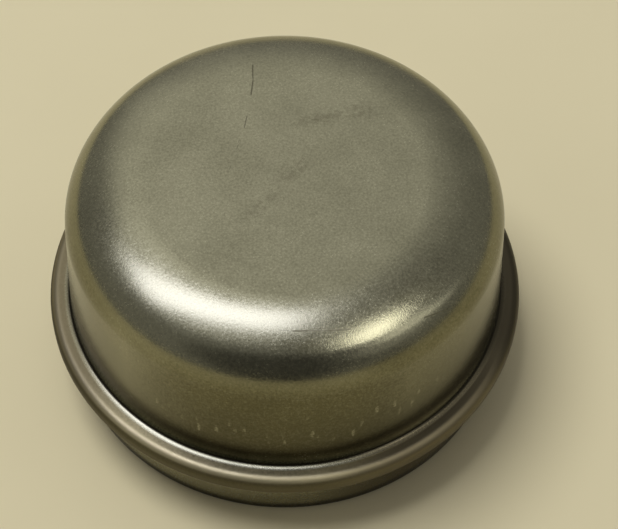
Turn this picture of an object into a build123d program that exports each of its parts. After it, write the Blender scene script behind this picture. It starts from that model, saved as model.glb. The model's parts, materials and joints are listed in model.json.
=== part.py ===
from build123d import *
import os
from math import cos, radians, sin, tan

# Hub grease cap: one cup deep-drawn from sheet steel, open at the bottom.
# It stands on its open rim: Z is the axis, and the origin is the centre of the rim.

# Sheet
sheet = 1.0                 # thickness, the same through crown, wall, bead and skirt

# Skirt, the stretch that is driven into the hub
skirt_diameter = 50.3       # outside
skirt_length = 6.7          # from the rim up to the underside of the stop bead
rim_lead = 0.35             # rounding of the outer rim edge, to start the skirt in the bore

# Stop bead, folded outwards from the same sheet
bead_gap = 0.7              # space left between the two layers of the fold
bead_reach = 2.05           # nose of the bead, outwards from the skirt
bead_corner_radius = 1.1    # outside corners of the nose
bead_root_radius = 0.5      # hollow corners where the bead leaves the wall and the skirt

# Cup above the bead
overall_height = 28.3       # rim to crown
wall_inset = 0.25           # foot of the wall, inwards from the skirt
wall_taper = 3.3            # degrees, narrowing towards the crown
crown_flat_radius = 15.0    # flat middle of the crown
shoulder_slope = 30.0       # degrees, where the long rounding of the crown runs into the short one
shoulder_radius = 5.0       # short rounding, between the shoulder and the wall

# What follows from those sizes
skirt_r = skirt_diameter / 2
bead_bottom = skirt_length
bead_top = bead_bottom + 2 * sheet + bead_gap
bead_r = skirt_r + bead_reach
wall_foot_r = skirt_r - wall_inset
wall_top_r = wall_foot_r - (overall_height - bead_top) * tan(radians(wall_taper))

# The crown eases into the wall in two roundings that meet on a short cone.
# Their tangents share the cone between them, and the long radius follows from that.
slope, taper = radians(shoulder_slope), radians(wall_taper)
cone_run = cos(slope) * (1 - tan(slope) * tan(taper))
short_tangent = shoulder_radius * tan((radians(90) - taper - slope) / 2)
long_tangent = ((wall_top_r - crown_flat_radius) / cone_run - short_tangent) / (1 + 1 / cone_run)
long_radius = 0.97 * long_tangent / tan(slope / 2)
cone_length = long_tangent + short_tangent
cone_top_r = crown_flat_radius + long_tangent
cone_foot_r = cone_top_r + cone_length * cos(slope)
cone_foot_z = overall_height - cone_length * sin(slope)


def cup_outside():
    """Outside line of the section, from the middle of the crown down to the rim."""
    return FilletPolyline(
        (0, overall_height),
        (cone_top_r, overall_height),
        (cone_foot_r, cone_foot_z),
        (wall_foot_r, bead_top),
        (bead_r, bead_top),
        (bead_r, bead_bottom),
        (skirt_r, bead_bottom),
        (skirt_r, 0),
        radius=(
            long_radius,
            shoulder_radius,
            bead_root_radius,
            bead_corner_radius,
            bead_corner_radius,
            bead_root_radius,
        ),
    )


def grease_cap():
    """The section is the outside line thickened inwards by one sheet, then turned about the axis."""
    with BuildPart() as cap:
        with BuildSketch(Plane.XZ):
            with BuildLine():
                add(cup_outside())
                offset(amount=sheet, side=Side.RIGHT)
            make_face()
        revolve(axis=Axis.Z)
        rim_edges = cap.edges().filter_by(GeomType.CIRCLE).group_by(Axis.Z)[0]
        fillet(rim_edges.sort_by(SortBy.RADIUS)[-1], rim_lead)
    return cap.part


os.makedirs("parts", exist_ok=True)
export_step(grease_cap(), "parts/grease_cap.step")
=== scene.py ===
import json
import math
import bmesh
import bpy
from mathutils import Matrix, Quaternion, Vector


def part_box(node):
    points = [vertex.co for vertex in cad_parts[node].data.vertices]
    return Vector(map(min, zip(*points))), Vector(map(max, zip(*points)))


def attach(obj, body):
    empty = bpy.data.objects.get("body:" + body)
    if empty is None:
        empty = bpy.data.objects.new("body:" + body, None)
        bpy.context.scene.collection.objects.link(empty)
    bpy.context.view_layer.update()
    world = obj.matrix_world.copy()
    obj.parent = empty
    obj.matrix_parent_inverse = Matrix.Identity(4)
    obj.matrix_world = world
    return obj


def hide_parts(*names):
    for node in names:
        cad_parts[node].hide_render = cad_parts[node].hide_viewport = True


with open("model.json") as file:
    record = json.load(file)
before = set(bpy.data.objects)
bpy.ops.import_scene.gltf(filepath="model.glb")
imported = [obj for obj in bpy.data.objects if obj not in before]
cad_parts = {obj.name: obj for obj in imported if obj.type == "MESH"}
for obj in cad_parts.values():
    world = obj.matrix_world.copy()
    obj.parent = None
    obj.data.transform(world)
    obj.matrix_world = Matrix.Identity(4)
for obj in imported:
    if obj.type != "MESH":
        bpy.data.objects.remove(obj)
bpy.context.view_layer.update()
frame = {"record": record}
bpy.context.scene.view_settings.view_transform = "Standard"
mm = 0.001

# Camera, set where the photograph was taken from
camera = {
    "place": Vector((0.0, -118.76, 180.31)) * mm,
    "looksAt": Vector((2.738, 0.0, 11.809)) * mm,
    "roll": 0.89,  # degrees
    "lens": 104.54,  # mm on a sensor 36 mm wide
}


def addCamera(cam):
    bpy.ops.object.camera_add(location=cam["place"])
    made = bpy.context.object
    made.name = "photoCamera"
    turn = (cam["looksAt"] - cam["place"]).to_track_quat("-Z", "Y")
    made.rotation_mode = "QUATERNION"
    made.rotation_quaternion = turn @ Quaternion((0, 0, 1), math.radians(cam["roll"]))
    made.data.sensor_fit = "HORIZONTAL"
    made.data.sensor_width = 36.0
    made.data.lens = cam["lens"]
    made.data.clip_start = 0.005
    made.data.clip_end = 50.0
    bpy.context.scene.camera = made


addCamera(camera)
print("camera ready")

# Sizes of the drawn cup, in metres; the outer ones come from the frame
boxLow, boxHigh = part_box("grease_cap")
pressSkirt = next(m for m in frame["record"]["mounts"] if m["name"] == "press_skirt")
cap = {
    "around": 320,  # steps round the axis
    "sheet": 1.0 * mm,
    "height": boxHigh[2],
    "beadRadius": min(boxHigh[0], boxHigh[1], -boxLow[0], -boxLow[1]),
    "skirtRadius": pressSkirt["dims"]["r_mm"] * mm,
    "beadBottom": 6.7 * mm,
    "beadTop": 9.4 * mm,
    "beadCorner": 1.08 * mm,
    "wallFoot": 24.82 * mm,  # wall radius at the bead
    "wallTaper": 3.0,  # degrees
    "rootRise": 0.15 * mm,  # the root runs out on to the bead as a flat cone
    "rootReach": 0.55 * mm,
    "crownFlat": 15.0 * mm,  # radius of the flat middle of the crown
    "shoulderSlope": 30.0,  # degrees, where the long rounding meets the short one
    "shoulderRadius": 5.0 * mm,  # short rounding, down to the wall
    "rootRadius": 0.5 * mm,
    "footRounding": 0.12 * mm,
    "runOutRounding": 0.18 * mm,
    "rimOutside": 0.35 * mm,
    "rimInside": 0.12 * mm,
    "crownRings": 14,
}


def pickRing(obj, radius, height, more=False):
    shape = bmesh.from_edit_mesh(obj.data)
    for edge in shape.edges:
        at = all(
            abs(v.co.xy.length - radius) < 0.02 * mm and abs(v.co.z - height) < 0.02 * mm
            for v in edge.verts
        )
        edge.select = at or (more and edge.select)
    bmesh.update_edit_mesh(obj.data)


def pickUprights(obj, low, high):
    shape = bmesh.from_edit_mesh(obj.data)
    for edge in shape.edges:
        a, b = sorted(v.co.z for v in edge.verts)
        edge.select = a > low and b < high and b - a > 3.0 * mm
    bmesh.update_edit_mesh(obj.data)


def pullRing(fromRadius, toRadius, fromHeight, toHeight):
    bpy.ops.mesh.extrude_edges_move(TRANSFORM_OT_translate={"value": (0, 0, toHeight - fromHeight)})
    grow = toRadius / fromRadius
    bpy.ops.transform.resize(value=(grow, grow, 1), center_override=(0, 0, toHeight))


def roundRing(offset, steps):
    bpy.ops.mesh.bevel(offset=offset, offset_type="OFFSET", segments=steps, profile=0.5, affect="EDGES")


def drawCap(size):
    taper, slope = math.radians(size["wallTaper"]), math.radians(size["shoulderSlope"])
    wallTop = size["wallFoot"] - (size["height"] - size["beadTop"]) * math.tan(taper)
    run = math.cos(slope) * (1 - math.tan(slope) * math.tan(taper))
    shortReach = size["shoulderRadius"] * math.tan((math.pi / 2 - taper - slope) / 2)
    longReach = ((wallTop - size["crownFlat"]) / run - shortReach) / (1 + 1 / run)
    coneTop = size["crownFlat"] + longReach
    coneFoot = coneTop + (longReach + shortReach) * math.cos(slope)
    coneLow = size["height"] - (longReach + shortReach) * math.sin(slope)
    foot, bead, skirt = size["wallFoot"], size["beadRadius"], size["skirtRadius"]
    runOut, rise = foot + size["rootReach"], size["rootRise"]
    top, land, under = size["height"], size["beadTop"], size["beadBottom"]
    bpy.ops.object.select_all(action="DESELECT")
    bpy.ops.mesh.primitive_circle_add(
        vertices=size["around"], radius=coneTop, fill_type="NGON", location=(0, 0, top)
    )
    obj = bpy.context.object
    obj.name = "drawnCap"
    bpy.ops.object.transform_apply(location=True, rotation=True, scale=True)
    bpy.ops.object.mode_set(mode="EDIT")
    bpy.ops.mesh.select_mode(type="EDGE")
    pickRing(obj, coneTop, top)
    pullRing(coneTop, coneFoot, top, coneLow)  # shoulder
    pullRing(coneFoot, foot, coneLow, land + rise)  # tapered wall
    pullRing(foot, runOut, land + rise, land)
    pullRing(runOut, bead, land, land)  # top of the stop bead
    pullRing(bead, bead, land, under)
    pullRing(bead, skirt, under, under)  # underside of the bead
    pullRing(skirt, skirt, under, 0)  # press skirt
    pickRing(obj, coneTop, top)
    roundRing(longReach * 0.97, 20)
    pickRing(obj, coneFoot, coneLow)
    roundRing(shortReach, 20)
    pickRing(obj, foot, land + rise)
    roundRing(size["footRounding"], 3)
    pickRing(obj, runOut, land)
    roundRing(size["runOutRounding"], 4)
    pickRing(obj, skirt, under)
    roundRing(size["rootRadius"], 6)
    pickRing(obj, bead, land)
    pickRing(obj, bead, under, more=True)
    roundRing(size["beadCorner"], 11)
    pickUprights(obj, land, top)
    bpy.ops.mesh.subdivide(number_cuts=9)
    pickUprights(obj, -mm, under)
    bpy.ops.mesh.subdivide(number_cuts=4)
    bpy.ops.mesh.select_mode(type="FACE")
    shape = bmesh.from_edit_mesh(obj.data)
    for face in shape.faces:
        face.select = len(face.verts) == size["around"]  # flat of the crown
    bmesh.update_edit_mesh(obj.data)
    flat = coneTop - longReach * 0.97
    for ring in range(size["crownRings"]):
        bpy.ops.mesh.inset(thickness=flat / (size["crownRings"] + 1))
    bpy.ops.mesh.poke()
    bpy.ops.mesh.select_all(action="SELECT")
    bpy.ops.mesh.remove_doubles(threshold=0.003 * mm)
    bpy.ops.mesh.normals_make_consistent(inside=False)
    bpy.ops.object.mode_set(mode="OBJECT")
    print("cup shell drawn,", len(obj.data.polygons), "faces")
    wall = obj.modifiers.new("sheetThickness", "SOLIDIFY")
    wall.thickness = size["sheet"]
    wall.offset = -1.0
    wall.use_even_offset = True
    wall.use_quality_normals = True
    wall.material_offset = 1
    bpy.ops.object.modifier_apply(modifier=wall.name)
    bpy.ops.object.mode_set(mode="EDIT")
    bpy.ops.mesh.select_mode(type="EDGE")
    pickRing(obj, skirt, 0)
    roundRing(size["rimOutside"], 5)
    pickRing(obj, skirt - size["sheet"], 0)
    roundRing(size["rimInside"], 3)
    bpy.ops.object.mode_set(mode="OBJECT")
    bpy.ops.object.shade_smooth()
    print("sheet thickness and rim done,", len(obj.data.polygons), "faces")
    return obj


capPiece = drawCap(cap)


def node(tree, kind, label="", **values):
    made = tree.nodes.new(kind)
    made.label = label
    for name, value in values.items():
        setattr(made, name, value)
    return made


def feed(tree, target, source):
    if isinstance(source, bpy.types.NodeSocket):
        tree.links.new(source, target)
    else:
        target.default_value = source


def maths(tree, operation, a, b=0.0, c=0.0, clamp=False):
    made = node(tree, "ShaderNodeMath", operation=operation, use_clamp=clamp)
    for socket, source in zip(made.inputs, (a, b, c)):
        feed(tree, socket, source)
    return made.outputs[0]


def vectors(tree, operation, a, b=(0, 0, 0), scale=1.0):
    made = node(tree, "ShaderNodeVectorMath", operation=operation)
    feed(tree, made.inputs[0], a)
    feed(tree, made.inputs[1], b)
    feed(tree, made.inputs[3], scale)  # read by SCALE only
    return made.outputs["Value"] if operation in ("LENGTH", "DOT_PRODUCT", "DISTANCE") else made.outputs[0]


def remap(tree, value, low, high, toLow=0.0, toHigh=1.0, kind="SMOOTHSTEP"):
    made = node(tree, "ShaderNodeMapRange", interpolation_type=kind)
    for socket, source in zip(made.inputs, (value, low, high, toLow, toHigh)):
        feed(tree, socket, source)
    return made.outputs[0]


def blendColour(tree, mask, a, b, kind="MIX"):
    made = node(tree, "ShaderNodeMix", data_type="RGBA", blend_type=kind)
    feed(tree, made.inputs[0], mask)
    feed(tree, made.inputs[6], a)
    feed(tree, made.inputs[7], b)
    return made.outputs[2]


def newGroup(name, inputs, outputs):
    tree = bpy.data.node_groups.new(name, "ShaderNodeTree")
    for label, kind, value in inputs:
        socket = tree.interface.new_socket(label, in_out="INPUT", socket_type=kind)
        socket.default_value = value
    for label, kind in outputs:
        tree.interface.new_socket(label, in_out="OUTPUT", socket_type=kind)
    start = tree.nodes.new("NodeGroupInput")
    end = tree.nodes.new("NodeGroupOutput")
    return tree, start.outputs, end.inputs


def useGroup(tree, group, **values):
    made = node(tree, "ShaderNodeGroup", label=group.name)
    made.node_tree = group
    for name, value in values.items():
        feed(tree, made.inputs[name], value)
    return made.outputs


def inMillimetres(tree):
    where = node(tree, "ShaderNodeTexCoord")
    return vectors(tree, "SCALE", where.outputs["Object"], scale=1000.0)


def makeSheetGrain():
    tree, given, out = newGroup(
        "sheetGrain",
        (
            ("Grain", "NodeSocketFloat", 4.0),  # per mm
            ("Cloud", "NodeSocketFloat", 0.14),  # per mm
            ("Pits", "NodeSocketFloat", 0.13),  # reach of the largest
        ),
        (
            ("Fine", "NodeSocketFloat"),
            ("Cloud", "NodeSocketFloat"),
            ("Pits", "NodeSocketFloat"),
        ),
    )
    place = inMillimetres(tree)
    fine = node(tree, "ShaderNodeTexNoise")
    feed(tree, fine.inputs["Vector"], place)
    feed(tree, fine.inputs["Scale"], given["Grain"])
    feed(tree, fine.inputs["Detail"], 3.0)
    feed(tree, fine.inputs["Roughness"], 0.62)
    cloud = node(tree, "ShaderNodeTexNoise")
    feed(tree, cloud.inputs["Vector"], place)
    feed(tree, cloud.inputs["Scale"], given["Cloud"])
    feed(tree, cloud.inputs["Detail"], 4.0)
    feed(tree, cloud.inputs["Roughness"], 0.55)
    pits = node(tree, "ShaderNodeTexVoronoi")
    feed(tree, pits.inputs["Vector"], place)
    feed(tree, pits.inputs["Scale"], 1.4)
    chance = node(tree, "ShaderNodeSeparateColor")
    feed(tree, chance.inputs[0], pits.outputs["Color"])
    size = maths(tree, "MULTIPLY", maths(tree, "POWER", chance.outputs[0], 9.0), given["Pits"])
    dot = maths(tree, "SUBTRACT", size, pits.outputs["Distance"])
    feed(tree, out["Fine"], remap(tree, fine.outputs[0], 0.25, 0.75, kind="LINEAR"))
    feed(tree, out["Cloud"], remap(tree, cloud.outputs[0], 0.3, 0.7))
    feed(tree, out["Pits"], remap(tree, dot, 0.0, 0.06))
    return tree


def makeDrawStreaks():
    tree, given, out = newGroup(
        "drawStreaks",
        (("Around", "NodeSocketFloat", 6.2), ("Along", "NodeSocketFloat", 2.6)),
        (
            ("Streak", "NodeSocketFloat"),
            ("Radius", "NodeSocketFloat"),
            ("Height", "NodeSocketFloat"),
            ("Spoke", "NodeSocketVector"),
        ),
    )
    place = inMillimetres(tree)
    split = node(tree, "ShaderNodeSeparateXYZ")
    feed(tree, split.inputs[0], place)
    flatPlace = vectors(tree, "MULTIPLY", place, (1, 1, 0))
    radius = vectors(tree, "LENGTH", flatPlace)
    spoke = vectors(tree, "NORMALIZE", flatPlace)
    spread = vectors(tree, "SCALE", spoke, scale=maths(tree, "MULTIPLY", given["Around"], 24.0))
    along = maths(tree, "SUBTRACT", split.outputs[2], radius)
    rise = node(tree, "ShaderNodeCombineXYZ")
    feed(tree, rise.inputs[2], maths(tree, "MULTIPLY", along, given["Along"]))
    streak = node(tree, "ShaderNodeTexNoise")
    feed(tree, streak.inputs["Vector"], vectors(tree, "ADD", spread, rise.outputs[0]))
    feed(tree, streak.inputs["Scale"], 1.0)
    feed(tree, streak.inputs["Detail"], 2.0)
    feed(tree, streak.inputs["Roughness"], 0.6)
    feed(tree, out["Streak"], remap(tree, streak.outputs[0], 0.25, 0.75))
    feed(tree, out["Radius"], radius)
    feed(tree, out["Height"], split.outputs[2])
    feed(tree, out["Spoke"], spoke)
    return tree


def makeScratch():
    tree, given, out = newGroup(
        "hairScratch",
        (
            ("Start", "NodeSocketVector", (0, 0, 0)),
            ("End", "NodeSocketVector", (1, 0, 0)),
            ("Width", "NodeSocketFloat", 0.15),
            ("Waver", "NodeSocketFloat", 0.15),
            ("Breaks", "NodeSocketFloat", 0.4),
        ),
        (("Mask", "NodeSocketFloat"),),
    )
    place = inMillimetres(tree)
    wander = node(tree, "ShaderNodeTexNoise")
    feed(tree, wander.inputs["Vector"], place)
    feed(tree, wander.inputs["Scale"], 0.55)
    shift = vectors(tree, "SUBTRACT", wander.outputs["Color"], (0.5, 0.5, 0.5))
    place2 = vectors(tree, "ADD", place, vectors(tree, "SCALE", shift, scale=given["Waver"]))
    fromStart = vectors(tree, "SUBTRACT", place2, given["Start"])
    run = vectors(tree, "SUBTRACT", given["End"], given["Start"])
    share = maths(
        tree,
        "DIVIDE",
        vectors(tree, "DOT_PRODUCT", fromStart, run),
        vectors(tree, "DOT_PRODUCT", run, run),
        clamp=True,
    )
    off = vectors(tree, "DISTANCE", fromStart, vectors(tree, "SCALE", run, scale=share))
    ends = maths(tree, "MULTIPLY", share, maths(tree, "SUBTRACT", 1.0, share))
    thin = maths(tree, "MULTIPLY", given["Width"], remap(tree, ends, 0.0, 0.12, 0.35, 1.0))
    line = remap(tree, off, maths(tree, "MULTIPLY", thin, 0.2), thin, 1.0, 0.0)
    gaps = node(tree, "ShaderNodeTexNoise")
    feed(tree, gaps.inputs["Vector"], place)
    feed(tree, gaps.inputs["Scale"], 1.6)
    kept = remap(tree, gaps.outputs[0], maths(tree, "SUBTRACT", given["Breaks"], 0.1), given["Breaks"])
    feed(tree, out["Mask"], maths(tree, "MULTIPLY", line, kept))
    return tree


def makeSmudge():
    tree, given, out = newGroup(
        "handledSmudge",
        (
            ("Middle", "NodeSocketVector", (0, 0, 0)),
            ("Reach", "NodeSocketVector", (3, 1.5, 3)),
            ("Turn", "NodeSocketVector", (0, 0, 0)),
            ("Mottle", "NodeSocketFloat", 1.6),
        ),
        (("Mask", "NodeSocketFloat"),),
    )
    place = inMillimetres(tree)
    turned = node(tree, "ShaderNodeVectorRotate", rotation_type="EULER_XYZ")
    feed(tree, turned.inputs["Vector"], place)
    feed(tree, turned.inputs["Center"], given["Middle"])
    feed(tree, turned.inputs["Rotation"], given["Turn"])
    away = vectors(tree, "SUBTRACT", turned.outputs[0], given["Middle"])
    away = vectors(tree, "DIVIDE", away, given["Reach"])
    spot = remap(tree, vectors(tree, "LENGTH", away), 0.15, 1.0, 1.0, 0.0)
    patch = node(tree, "ShaderNodeTexNoise")
    feed(tree, patch.inputs["Vector"], place)
    feed(tree, patch.inputs["Scale"], given["Mottle"])
    feed(tree, patch.inputs["Detail"], 3.0)
    feed(tree, out["Mask"], maths(tree, "MULTIPLY", spot, remap(tree, patch.outputs[0], 0.36, 0.62)))
    return tree


def makeFleck():
    tree, given, out = newGroup(
        "reflectionFleck",
        (
            ("Spoke", "NodeSocketVector", (0, -1, 0)),
            ("Height", "NodeSocketFloat", 15.0),
            ("Towards", "NodeSocketVector", (0, -1, 0)),
            ("Level", "NodeSocketFloat", 15.0),
            ("Strength", "NodeSocketFloat", 1.0),
        ),
        (("Mask", "NodeSocketFloat"),),
    )
    aside = vectors(tree, "DISTANCE", given["Spoke"], given["Towards"])
    wide = maths(tree, "MULTIPLY_ADD", given["Strength"], 0.006, 0.006)
    aside = maths(tree, "DIVIDE", aside, wide)
    tall = maths(tree, "MULTIPLY_ADD", given["Strength"], 0.4, 0.35)
    rise = maths(tree, "DIVIDE", maths(tree, "SUBTRACT", given["Height"], given["Level"]), tall)
    away = maths(tree, "ADD", maths(tree, "POWER", aside, 2.0), maths(tree, "MULTIPLY", rise, rise))
    spot = remap(tree, away, 0.0, 1.0, 1.0, 0.0)
    feed(tree, out["Mask"], maths(tree, "MULTIPLY", spot, given["Strength"]))
    return tree


sheetGrain = makeSheetGrain()
drawStreaks = makeDrawStreaks()
hairScratch = makeScratch()
handledSmudge = makeSmudge()
reflectionFleck = makeFleck()
print("finish groups built")

# Satin outside of the cup; places are in mm from the middle of the rim
satinSteel = {
    "colour": (0.368, 0.358, 0.252, 1),
    "shade": (0.182, 0.177, 0.122, 1),
    "dirtAndShade": (0.10, 0.092, 0.058, 1),
    "stain": (0.125, 0.112, 0.07, 1),
    "shadeVeil": (0.42, 0.395, 0.29, 1),
    "warm": (1.0, 0.90, 0.72, 1),
    "wornAndSheen": (0.56, 0.50, 0.31, 1),
    "beadShade": (0.15, 0.127, 0.08, 1),
    "shadeAndSoot": (0.028, 0.025, 0.017, 1),
    "paintedReflection": (0.52, 0.50, 0.37, 1),
    "roughness": 0.20,
    "scratches": (
        # start, end, width, waver, breaks, depth
        ((-3.6, 16.2, 28.25), (-3.5, 13.6, 28.3), 0.12, 0.2, 0.2, 0.8),
        ((-3.5, 13.7, 28.3), (-3.75, 11.3, 28.3), 0.13, 0.2, 0.2, 0.85),
        ((-4.1, 8.6, 28.3), (-4.5, 6.5, 28.3), 0.10, 0.3, 0.2, 0.7),
        ((-4.8, 5.7, 28.3), (-6.2, -0.1, 28.3), 0.07, 0.5, 0.5, 0.5),
        ((-0.85, -19.19, 27.63), (0.7, -19.38, 27.57), 0.10, 0.1, 0.3, 0.3),
        ((0.65, -19.38, 27.57), (3.72, -19.25, 27.49), 0.14, 0.3, 0.2, 0.7),
        ((3.72, -19.25, 27.49), (6.92, -18.96, 27.26), 0.15, 0.3, 0.2, 0.7),
        ((14.28, -16.92, 26.19), (16.01, -15.98, 25.78), 0.17, 0.15, 0.1, 0.65),
        ((16.01, -15.98, 25.78), (17.11, -15.23, 25.49), 0.14, 0.15, 0.1, 0.4),
    ),
    "smudges": (
        # middle, reach, turn about the axis
        ((4.2, 8.1, 28.3), (5.0, 1.4, 4), -0.28),
        ((8.3, 9.0, 28.3), (3.0, 1.9, 4), 0.2),
        ((-2.6, -4.0, 28.3), (5.2, 1.3, 4), -0.85),
        ((0.6, 0.6, 28.3), (4.2, 1.7, 4), -0.7),
    ),
    # painted reflections: pale flecks on the wall standing in for reflected floor texture
    "flecks": (
        # degrees round the axis, height, strength
        (-124.0, 15.4, 0.8),
        (-122.4, 14.9, 0.4),
        (-116.7, 15.0, 0.35),
        (-112.6, 15.6, 0.4),
        (-112.1, 14.3, 1.0),
        (-107.4, 14.9, 1.0),
        (-104.1, 16.5, 0.5),
        (-102.6, 15.4, 0.7),
        (-100.3, 15.6, 0.7),
        (-94.7, 14.9, 0.4),
        (-94.2, 13.8, 0.4),
        (-90.6, 15.1, 0.35),
        (-90.3, 13.9, 0.6),
        (-84.5, 18.5, 0.3),
        (-83.3, 15.4, 0.9),
        (-82.0, 14.7, 0.4),
        (-78.0, 13.8, 0.35),
        (-73.0, 14.2, 0.9),
        (-70.7, 15.6, 0.7),
        (-66.8, 17.1, 1.0),
        (-61.8, 16.8, 1.0),
        (-60.2, 15.0, 0.6),
        (-56.4, 15.2, 0.9),
        (-54.6, 16.6, 0.6),
        (-48.4, 16.3, 0.7),
    ),
}


def strongest(tree, masks):
    top = masks[0]
    for mask in masks[1:]:
        top = maths(tree, "MAXIMUM", top, mask)
    return top


def towards(degrees):
    return (math.cos(math.radians(degrees)), math.sin(math.radians(degrees)), 0)


def finishSatinSteel(look):
    material = bpy.data.materials.new("satinSteel")
    material.use_nodes = True
    tree = material.node_tree
    surface = tree.nodes["Principled BSDF"]
    grain = useGroup(tree, sheetGrain)
    streaks = useGroup(tree, drawStreaks)
    radius, height, spoke = streaks["Radius"], streaks["Height"], streaks["Spoke"]
    lines = []
    for start, end, width, waver, breaks, depth in look["scratches"]:
        line = useGroup(tree, hairScratch, Start=start, End=end, Width=width, Waver=waver, Breaks=breaks)
        lines.append(maths(tree, "MULTIPLY", line["Mask"], depth))
    dark = strongest(tree, lines)
    spots = []
    for middle, reach, turn in look["smudges"]:
        spots.append(useGroup(tree, handledSmudge, Middle=middle, Reach=reach, Turn=(0, 0, turn))["Mask"])
    grime = strongest(tree, spots)
    rag = node(tree, "ShaderNodeTexNoise")
    feed(tree, rag.inputs["Vector"], inMillimetres(tree))
    feed(tree, rag.inputs["Scale"], 2.6)
    shift = vectors(tree, "SUBTRACT", rag.outputs["Color"], (0.5, 0.5, 0.5))
    raggedSpoke = vectors(tree, "ADD", spoke, vectors(tree, "MULTIPLY", shift, (0.012, 0.012, 0)))
    raggedHeight = maths(tree, "MULTIPLY_ADD", maths(tree, "SUBTRACT", rag.outputs[0], 0.5), 2.0, height)
    # painted reflections: pale flecks round the wall
    marks = []
    for turn, level, strength in look["flecks"]:
        fleck = useGroup(
            tree,
            reflectionFleck,
            Spoke=raggedSpoke,
            Height=raggedHeight,
            Towards=towards(turn),
            Level=level,
            Strength=strength,
        )
        marks.append(fleck["Mask"])
    pale = maths(tree, "MULTIPLY", strongest(tree, marks), remap(tree, grain["Fine"], 0.25, 0.7, 0.25, 1.0))

    # zones of the drawn shape
    onWall = remap(tree, height, 9.5, 9.75)
    onBead = maths(tree, "SUBTRACT", 1.0, onWall)
    outward = remap(tree, radius, 25.35, 25.6)
    land = maths(tree, "MULTIPLY", onBead, outward)
    nose = maths(tree, "MULTIPLY", land, remap(tree, height, 8.95, 9.15))
    nose = maths(tree, "MULTIPLY", nose, remap(tree, radius, 25.9, 26.5))  # worn by handling, and brightened further as a painted highlight
    valley = maths(tree, "MULTIPLY", land, remap(tree, radius, 26.1, 26.5, 1.0, 0.0))  # flat of the bead
    lip = maths(tree, "MULTIPLY", land, remap(tree, height, 8.85, 9.15, 1.0, 0.0))  # under the nose: painted shade that hides the floor's reflection
    lip = maths(tree, "MULTIPLY", lip, remap(tree, height, 7.2, 7.7))
    creaseShade = remap(tree, height, 9.62, 9.78, 1.0, 0.0)  # painted shade: dark line in the crease at the foot of the wall
    creaseShade = maths(tree, "MULTIPLY", remap(tree, height, 9.2, 9.3), creaseShade)
    creaseShade = maths(tree, "MULTIPLY", creaseShade, remap(tree, radius, 24.97, 25.1, 1.0, 0.0))
    skirt = maths(tree, "SUBTRACT", 1.0, outward)
    skirt = maths(tree, "MULTIPLY", skirt, remap(tree, height, 6.4, 6.9, 1.0, 0.0))
    # painted contact shadow and dirt together: the bottom edge of the skirt darkened
    edge = maths(tree, "MULTIPLY", skirt, remap(tree, height, 0.6, 1.7, 1.0, 0.0))
    root = maths(tree, "MULTIPLY", onBead, maths(tree, "SUBTRACT", 1.0, outward))
    rightSide = remap(tree, vectors(tree, "DOT_PRODUCT", spoke, towards(-17)), 0.35, 0.75)
    leftSide = remap(tree, vectors(tree, "DOT_PRODUCT", spoke, towards(186)), 0.70, 0.95)
    frontSide = remap(tree, vectors(tree, "DOT_PRODUCT", spoke, towards(-90)), 0.65, 0.97)
    offRight = maths(tree, "MULTIPLY_ADD", rightSide, -0.8, 1.0)
    farRight = remap(tree, vectors(tree, "DOT_PRODUCT", spoke, towards(8)), 0.68, 0.92)
    # less painted highlight on the nose, and less painted shade under it, on the right side
    nose = maths(tree, "MULTIPLY", nose, offRight)
    lip = maths(tree, "MULTIPLY", lip, offRight)

    even = remap(tree, root, 0.0, 1.0, 0.75, 0.1, kind="LINEAR")  # less mottled in the root
    tone = maths(tree, "MULTIPLY_ADD", root, 0.35, maths(tree, "MULTIPLY", grain["Cloud"], 0.25))
    tone = maths(tree, "MULTIPLY_ADD", grain["Fine"], even, tone)
    colour = blendColour(tree, tone, look["shade"], look["colour"])
    colour = blendColour(tree, maths(tree, "MULTIPLY", grime, 0.36), colour, look["stain"])
    colour = blendColour(tree, maths(tree, "MULTIPLY", grain["Pits"], 0.42), colour, look["dirtAndShade"])
    colour = blendColour(tree, dark, colour, look["dirtAndShade"])
    foot = remap(tree, height, 10.6, 17.0, 0.85, 0.0)  # painted shade: darker towards the foot of the wall, where it meets the bead
    foot = maths(tree, "MAXIMUM", foot, remap(tree, height, 10.0, 21.5, 0.55, 0.0))
    clear = remap(tree, height, 10.3, 11.7)  # the painted shade fades out just above the root
    foot = maths(tree, "MULTIPLY", foot, maths(tree, "MULTIPLY", onWall, clear))
    colour = blendColour(tree, foot, colour, look["dirtAndShade"])
    # painted shade: the wall darker at the front and high up on its left and right, broken up by streaks
    shadeVeil = (
        maths(tree, "MULTIPLY", frontSide, remap(tree, height, 21.0, 26.3, 1.0, 0.0)),
        maths(tree, "MULTIPLY", rightSide, remap(tree, height, 23.5, 27.2, 0.65, 0.0)),
        maths(tree, "MULTIPLY", leftSide, remap(tree, height, 23.0, 27.0, 0.68, 0.0)),
    )
    shadeVeil = maths(tree, "MULTIPLY", strongest(tree, shadeVeil), maths(tree, "MULTIPLY", onWall, clear))
    patchy = maths(tree, "ADD", streaks["Streak"], remap(tree, rag.outputs[0], 0.3, 0.7))
    shadeVeil = maths(tree, "MULTIPLY", shadeVeil, maths(tree, "MULTIPLY_ADD", patchy, -0.28, 1.24), clamp=True)
    colour = blendColour(tree, shadeVeil, colour, look["shadeVeil"], "MULTIPLY")
    colour = blendColour(tree, maths(tree, "MULTIPLY", land, 0.9), colour, look["warm"], "MULTIPLY")
    colour = blendColour(tree, maths(tree, "MULTIPLY", nose, 0.8), colour, look["wornAndSheen"])
    # painted light: the press skirt made lighter
    colour = blendColour(tree, maths(tree, "MULTIPLY", skirt, 0.3), colour, look["paintedReflection"])
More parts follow.
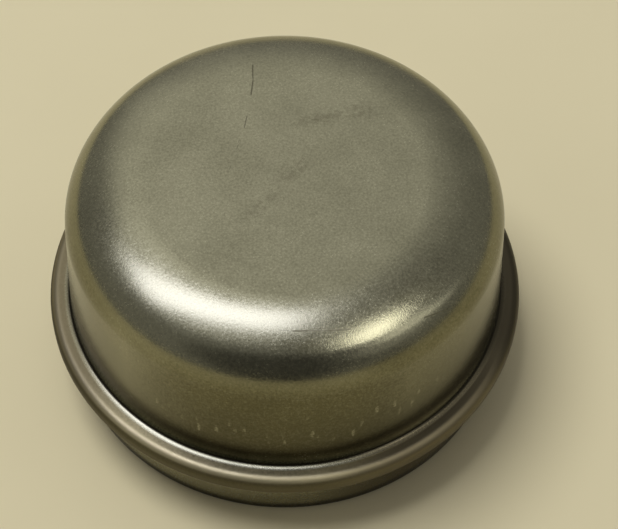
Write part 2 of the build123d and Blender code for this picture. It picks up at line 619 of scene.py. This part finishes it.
    # painted shade on the bead: slight on its flat, strong on its left and right sides
    beadShade = maths(tree, "MULTIPLY", land, 0.04)
    beadShade = maths(tree, "MULTIPLY_ADD", maths(tree, "MULTIPLY", onBead, leftSide), 0.42, beadShade)
    beadShade = maths(tree, "MULTIPLY_ADD", maths(tree, "MULTIPLY", onBead, rightSide), 0.85, beadShade)
    beadShade = maths(tree, "MULTIPLY_ADD", maths(tree, "MULTIPLY", land, leftSide), 0.25, beadShade, clamp=True)
    colour = blendColour(tree, beadShade, colour, look["beadShade"])
    # near black: painted shade under the nose, in the crease at the wall's foot, on the far right of the
    # bead and on the right of its flat; at the bottom edge of the skirt contact shadow and dirt together
    black = (
        maths(tree, "MULTIPLY", lip, 0.60),
        creaseShade,
        maths(tree, "MULTIPLY", edge, 0.95),
        maths(tree, "MULTIPLY", maths(tree, "MULTIPLY", onBead, farRight), 0.75),
        maths(tree, "MULTIPLY", maths(tree, "MULTIPLY", valley, rightSide), 0.55),
    )
    black = strongest(tree, black)
    colour = blendColour(tree, black, colour, look["shadeAndSoot"])
    # the painted reflection flecks on the wall
    colour = blendColour(tree, maths(tree, "MULTIPLY", pale, 0.50), colour, look["paintedReflection"])
    feed(tree, surface.inputs["Base Color"], colour)

    rough = maths(tree, "MULTIPLY_ADD", grain["Fine"], 0.125, look["roughness"] - 0.062)
    rough = maths(tree, "MULTIPLY_ADD", grain["Cloud"], 0.04, rough)
    rough = maths(tree, "MULTIPLY_ADD", grime, 0.08, rough)
    rough = maths(tree, "MULTIPLY_ADD", dark, 0.3, rough)
    rough = maths(tree, "MULTIPLY_ADD", maths(tree, "MULTIPLY", land, rightSide), 0.08, rough)
    rough = maths(tree, "MULTIPLY_ADD", lip, 0.20, rough)
    rough = maths(tree, "MULTIPLY_ADD", land, 0.14, rough)
    rough = maths(tree, "MULTIPLY_ADD", nose, 0.10, rough)
    rough = maths(tree, "MULTIPLY_ADD", root, 0.03, rough)
    feed(tree, surface.inputs["Roughness"], rough)
    surface.inputs["Metallic"].default_value = 1.0

    drawn = remap(tree, radius, 16.0, 21.5, 0.0, 0.85)  # streaks begin at the shoulder
    fineLift = remap(tree, radius, 15.0, 19.0, 1.3, 0.55)  # and the grain fades there
    fineLift = maths(tree, "MULTIPLY", grain["Fine"], fineLift)
    lift = maths(tree, "MULTIPLY_ADD", streaks["Streak"], drawn, fineLift)
    lift = maths(tree, "SUBTRACT", lift, maths(tree, "MULTIPLY", dark, 0.12))
    lift = maths(tree, "MULTIPLY", lift, remap(tree, height, 9.9, 10.4, 0.1, 1.0))  # the bead is smoother
    bump = node(tree, "ShaderNodeBump")
    feed(tree, bump.inputs["Height"], lift)
    feed(tree, bump.inputs["Strength"], 1.0)
    feed(tree, bump.inputs["Distance"], 0.004 * mm)
    feed(tree, surface.inputs["Normal"], bump.outputs[0])
    return material


# Inside of the cup, duller than the outside
innerSteel = {
    "colour": (0.29, 0.28, 0.205, 1),
    "shade": (0.20, 0.193, 0.138, 1),
    "roughness": 0.44,
}


def finishInnerSteel(look):
    material = bpy.data.materials.new("innerSteel")
    material.use_nodes = True
    tree = material.node_tree
    surface = tree.nodes["Principled BSDF"]
    grain = useGroup(tree, sheetGrain, Grain=3.0, Cloud=0.2)
    streaks = useGroup(tree, drawStreaks, Around=2.2, Along=0.3)
    tone = maths(tree, "MULTIPLY_ADD", grain["Cloud"], 0.6, maths(tree, "MULTIPLY", streaks["Streak"], 0.4))
    feed(tree, surface.inputs["Base Color"], blendColour(tree, tone, look["shade"], look["colour"]))
    rough = maths(tree, "MULTIPLY_ADD", grain["Fine"], 0.1, look["roughness"] - 0.05)
    feed(tree, surface.inputs["Roughness"], rough)
    surface.inputs["Metallic"].default_value = 1.0
    bump = node(tree, "ShaderNodeBump")
    feed(tree, bump.inputs["Height"], maths(tree, "ADD", grain["Fine"], streaks["Streak"]))
    feed(tree, bump.inputs["Strength"], 1.0)
    feed(tree, bump.inputs["Distance"], 0.004 * mm)
    feed(tree, surface.inputs["Normal"], bump.outputs[0])
    return material


capPiece.data.materials.append(finishSatinSteel(satinSteel))
capPiece.data.materials.append(finishInnerSteel(innerSteel))
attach(capPiece, "root")
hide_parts("grease_cap")
print("steel finishes on the cap")

# Plain pale floor
floor = {"size": 4.0, "colour": (0.80, 0.73, 0.50, 1), "shade": (0.775, 0.705, 0.48, 1)}


def layFloor(look):
    bpy.ops.object.select_all(action="DESELECT")
    bpy.ops.mesh.primitive_plane_add(size=look["size"], location=(0, 0, -0.01 * mm))
    made = bpy.context.object
    made.name = "paleFloor"
    material = bpy.data.materials.new("paleFloor")
    material.use_nodes = True
    tree = material.node_tree
    surface = tree.nodes["Principled BSDF"]
    grain = useGroup(tree, sheetGrain, Grain=0.6, Cloud=0.02)
    colour = blendColour(tree, grain["Cloud"], look["shade"], look["colour"])
    feed(tree, surface.inputs["Base Color"], colour)
    surface.inputs["Roughness"].default_value = 0.7
    surface.inputs["Specular IOR Level"].default_value = 0.2
    made.data.materials.append(material)


layFloor(floor)

# Soft studio lamps, one metre off
lamps = {
    # shape, turn from behind the cap towards its right, rise, spin, wide, deep, glow, tint
    "overheadSoft": ("RECTANGLE", -69.5, 73.4, 11, 0.26, 0.68, 4.9, (0.76, 0.766, 1.0)),
    "overheadGlow": ("ELLIPSE", -63, 72, 0, 0.80, 0.95, 0.42, (1.0, 0.985, 0.94)),
    "rightSoft": ("ELLIPSE", 117.8, 62.2, 20, 0.36, 0.24, 5.1, (1.0, 0.97, 0.91)),
    "rightLow": ("ELLIPSE", 117.5, 43, 0, 0.45, 0.34, 1.1, (1.0, 0.97, 0.91)),
    "rightWide": ("ELLIPSE", 132, 32, 0, 0.55, 0.45, 0.26, (1.0, 0.97, 0.91)),
    "rightFar": ("ELLIPSE", 101, 32.5, 0, 0.25, 0.20, 0.6, (1.0, 0.97, 0.91)),
    "floorSoft": ("ELLIPSE", -62, 70, 0, 0.54, 0.48, 7.6, (1.0, 0.985, 0.95)),
}
room = {
    "colour": (1.0, 0.97, 0.90, 1),
    "walls": 0.29,
    "dim": 0.09,
    "dimSide": (-0.03, -0.865, 0.50),
    "glow": 0.60,  # pale ceiling behind the cap
    "glowSide": (-0.223, 0.655, 0.722),
}


def hangLamp(name, shape, turn, rise, spin, wide, deep, glow, tint):
    turn, rise = math.radians(turn), math.radians(rise)
    place = Vector((math.sin(turn) * math.cos(rise), math.cos(turn) * math.cos(rise), math.sin(rise)))
    bpy.ops.object.light_add(type="AREA", location=place)
    made = bpy.context.object
    made.name = name
    made.rotation_mode = "QUATERNION"
    level = Quaternion((0, 0, 1), math.radians(spin))
    made.rotation_quaternion = (-place).to_track_quat("-Z", "Y") @ level
    made.data.shape = shape
    made.data.size = wide
    made.data.size_y = deep
    area = wide * deep * (1.0 if shape == "RECTANGLE" else math.pi / 4)
    made.data.energy = glow * math.pi * area
    made.data.color = tint
    made.visible_diffuse = name == "floorSoft"  # one lamp makes the floor's shadow,
    made.visible_glossy = name != "floorSoft"  # the others are what the steel reflects


def lightRoom(look):
    world = bpy.data.worlds.new("studioRoom")
    bpy.context.scene.world = world
    world.use_nodes = True
    tree = world.node_tree
    glow = tree.nodes["Background"]
    where = node(tree, "ShaderNodeTexCoord")
    facing = vectors(tree, "DOT_PRODUCT", where.outputs["Generated"], look["dimSide"])
    glow.inputs[0].default_value = look["colour"]
    walls = remap(tree, facing, 0.70, 0.93, look["walls"], look["dim"])
    ceiling = vectors(tree, "DOT_PRODUCT", where.outputs["Generated"], look["glowSide"])
    ceiling = maths(tree, "POWER", remap(tree, ceiling, 0.60, 1.0, kind="LINEAR"), 2.0)
    ceiling = maths(tree, "MULTIPLY", ceiling, look["glow"])
    split = node(tree, "ShaderNodeSeparateXYZ")
    feed(tree, split.inputs[0], where.outputs["Generated"])
    leftEnd = remap(tree, split.outputs[0], -0.60, -0.39)  # the ceiling ends at the left
    ceiling = maths(tree, "MULTIPLY", ceiling, leftEnd)
    feed(tree, glow.inputs[1], maths(tree, "ADD", walls, ceiling))


for lampName, lampValues in lamps.items():
    hangLamp(lampName, *lampValues)
lightRoom(room)
print("floor and lamps ready")
